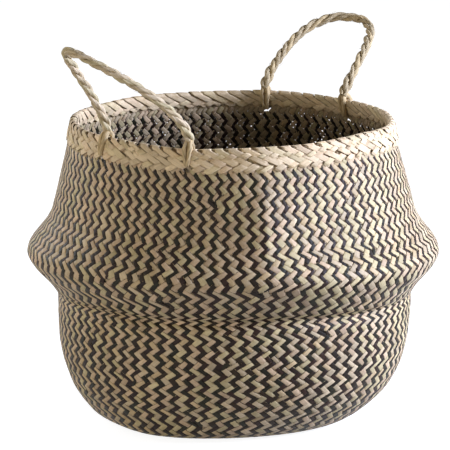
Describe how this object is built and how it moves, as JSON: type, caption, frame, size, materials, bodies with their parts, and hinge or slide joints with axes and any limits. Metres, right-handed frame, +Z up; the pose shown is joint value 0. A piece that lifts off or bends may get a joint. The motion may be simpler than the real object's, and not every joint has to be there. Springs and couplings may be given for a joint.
{
  "type": "seagrass storage basket",
  "caption": "Round plaited seagrass storage basket with a bulging belly folded over a narrow waist, a doubled natural rim, a flat base and rope handles that swing over the open mouth.",
  "frame": {"origin": "on the underside of the flat base, on the axis that the waist, belly and rim share", "axes": "+Z up along the basket's axis; the two handles stand near -X and +X"},
  "size_m": [0.4511, 0.4, 0.3909],
  "materials": {
    "mixed_plait": "matt plait of natural and black-dyed flat seagrass strands",
    "natural_plait": "matt natural seagrass, folded over and plaited back",
    "rope": "matt twisted natural seagrass rope"
  },
  "bodies": {
    "lower": {"base_mat": "mixed_plait", "lower_bowl": "mixed_plait"},
    "upper": {"fold_band": "mixed_plait", "belly_wall": "mixed_plait", "rim_band_outer": "natural_plait", "rim_band_inner": "natural_plait", "rim_edge": "natural_plait", "left_handle_near_eye": "rope", "left_handle_far_eye": "rope", "right_handle_near_eye": "rope", "right_handle_far_eye": "rope"},
    "left_handle": {"left_handle_rope": "rope"},
    "right_handle": {"right_handle_rope": "rope"}
  },
  "joints": [
    {"name": "belly_fold", "type": "slide", "parent": "lower", "child": "upper", "axis": [0, 0, 1], "range_m": [-0.025, 0], "deforming": ["fold_band"]},
    {"name": "left_handle_swing", "type": "hinge", "parent": "upper", "child": "left_handle", "pos_m": [-0.14553, 0.00635, 0.30365], "axis": [-0.0436, -0.999, 0], "range_deg": [-112, 53]},
    {"name": "right_handle_swing", "type": "hinge", "parent": "upper", "child": "right_handle", "pos_m": [0.14663, 0.0064, 0.30365], "axis": [-0.0436, 0.999, 0], "range_deg": [-129, 36]}
  ]
}
